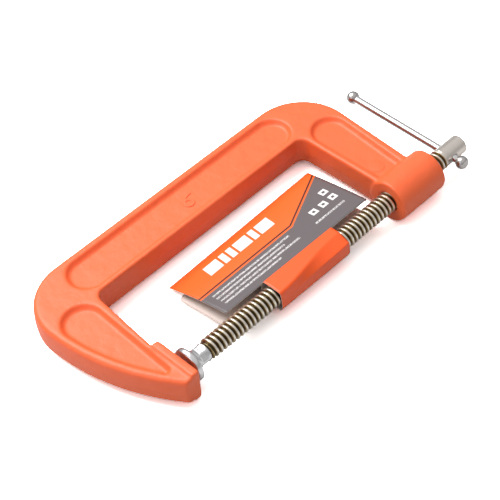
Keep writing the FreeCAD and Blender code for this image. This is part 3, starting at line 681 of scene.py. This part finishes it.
bare_card, tree, shader = new_material("bare_card")
put(shader.inputs["Base Color"], BARE)
put(shader.inputs["Roughness"], 0.6)
put(shader.inputs["Normal"], skin_normal(tree, 1400.0, 0.00001, 60.0, 0.0002))
dress(leaf, bare_card)
for piece in (panel, tab, leaf):
    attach(piece, "tag")
    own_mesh(piece)
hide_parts("hang_tag")


# Studio
# The clamp lies on a white sweep under a broad soft light from above the spine, with a weaker
# one from the anvil end. Only the camera sees full white: metal sees a pale floor and room.

FLOOR_GAP = 0.0002
FLOOR_LIT = (0.55, 0.55, 0.55, 1)
FLOOR_MIRRORED = (0.70, 0.70, 0.70, 1)
FLOOR_SEEN = (2.75, 2.72, 2.72, 1)
ROOM_MIRRORED = 0.4
CENTRE = (0.09, 0.04, 0.0)


def mirrored_ray(tree):
    """1 for rays that show the backdrop in metal or through glass."""
    path = add_node(tree, "ShaderNodeLightPath").outputs
    return combine(tree, path["Is Glossy Ray"], path["Is Transmission Ray"], "MAXIMUM")


def white_floor():
    """A plane whose shade is kept, while bare floor reads as white to the camera."""
    span = 3.0
    low = cad_low[2] - FLOOR_GAP
    points = np.array([(-span, -span, low), (span, -span, low), (span, span, low), (-span, span, low)])
    obj = mesh_piece("studio_floor", points, np.array([[0, 1, 2, 3]]), False)
    material, tree, shader = new_material("studio_white")
    path = add_node(tree, "ShaderNodeLightPath")
    lit = add_node(tree, "ShaderNodeMix", {"Factor": mirrored_ray(tree)}, data_type="RGBA")
    lit.inputs["A"].default_value = FLOOR_LIT
    lit.inputs["B"].default_value = FLOOR_MIRRORED
    seen = add_node(tree, "ShaderNodeMix", {"Factor": path.outputs["Is Camera Ray"]}, data_type="RGBA")
    put(seen.inputs["A"], lit.outputs["Result"])
    seen.inputs["B"].default_value = FLOOR_SEEN
    diffuse = add_node(tree, "ShaderNodeBsdfDiffuse", {"Color": seen.outputs["Result"]})
    tree.nodes.remove(shader)
    put(tree.nodes["Material Output"].inputs["Surface"], diffuse.outputs["BSDF"])
    obj.data.materials.append(material)


def area_light(name, place, aim, size, power):
    """A soft square light at a place, turned to face a point."""
    lamp = bpy.data.lights.new(name, "AREA")
    lamp.shape = "SQUARE"
    lamp.size = size
    lamp.energy = power
    obj = bpy.data.objects.new(name, lamp)
    obj.location = place
    obj.rotation_euler = (Vector(aim) - Vector(place)).to_track_quat("-Z", "Y").to_euler()
    bpy.context.scene.collection.objects.link(obj)


white_floor()
area_light("key", (-0.08, 0.71, 1.09), CENTRE, 1.0, 20.5)
area_light("fill", (-1.1, 0.05, 0.7), CENTRE, 0.8, 1.8)

world = bpy.data.worlds.new("studio")
bpy.context.scene.world = world
world.use_nodes = True
tree = world.node_tree
background = tree.nodes["Background"]
path = add_node(tree, "ShaderNodeLightPath")
mirrored = combine(tree, mirrored_ray(tree), ROOM_MIRRORED)
pale = combine(tree, path.outputs["Is Camera Ray"], mirrored, "MAXIMUM")
place = add_node(tree, "ShaderNodeTexCoord").outputs["Generated"]
rise = add_node(tree, "ShaderNodeSeparateXYZ", {"Vector": place}).outputs["Z"]
room = add_node(tree, "ShaderNodeValToRGB", {"Fac": rise})
room.color_ramp.elements[0].position = 0.0
room.color_ramp.elements[0].color = (0.30, 0.30, 0.30, 1)
room.color_ramp.elements[1].position = 0.9
room.color_ramp.elements[1].color = (0.76, 0.76, 0.76, 1)
for position, level in ((0.10, 0.15), (0.40, 0.22), (0.60, 0.56)):
    room.color_ramp.elements.new(position).color = (level, level, level, 1)
shown = add_node(tree, "ShaderNodeMix", {"Factor": pale}, data_type="RGBA")
put(shown.inputs["A"], room.outputs["Color"])
shown.inputs["B"].default_value = (1, 1, 1, 1)
put(background.inputs["Color"], shown.outputs["Result"])
put(background.inputs["Strength"], 1.0)


# Camera
# A long lens above the open side of the clamp, tipped slightly round its own axis.

EYE = Vector((-0.33542, -0.44089, 0.69249))
AIM = Vector((0.08502, 0.03371, 0.0))
TIP = math.radians(-5.27)
LENS = 119.16

lens = bpy.data.cameras.new("camera")
lens.lens = LENS
lens.sensor_width = 36.0
lens.clip_start = 0.05
camera = bpy.data.objects.new("camera", lens)
bpy.context.scene.collection.objects.link(camera)
turn = (AIM - EYE).to_track_quat("-Z", "Y").to_matrix().to_4x4()
camera.matrix_world = Matrix.Translation(EYE) @ turn @ Matrix.Rotation(TIP, 4, "Z")
bpy.context.scene.camera = camera
bpy.context.scene.view_settings.view_transform = "Standard"
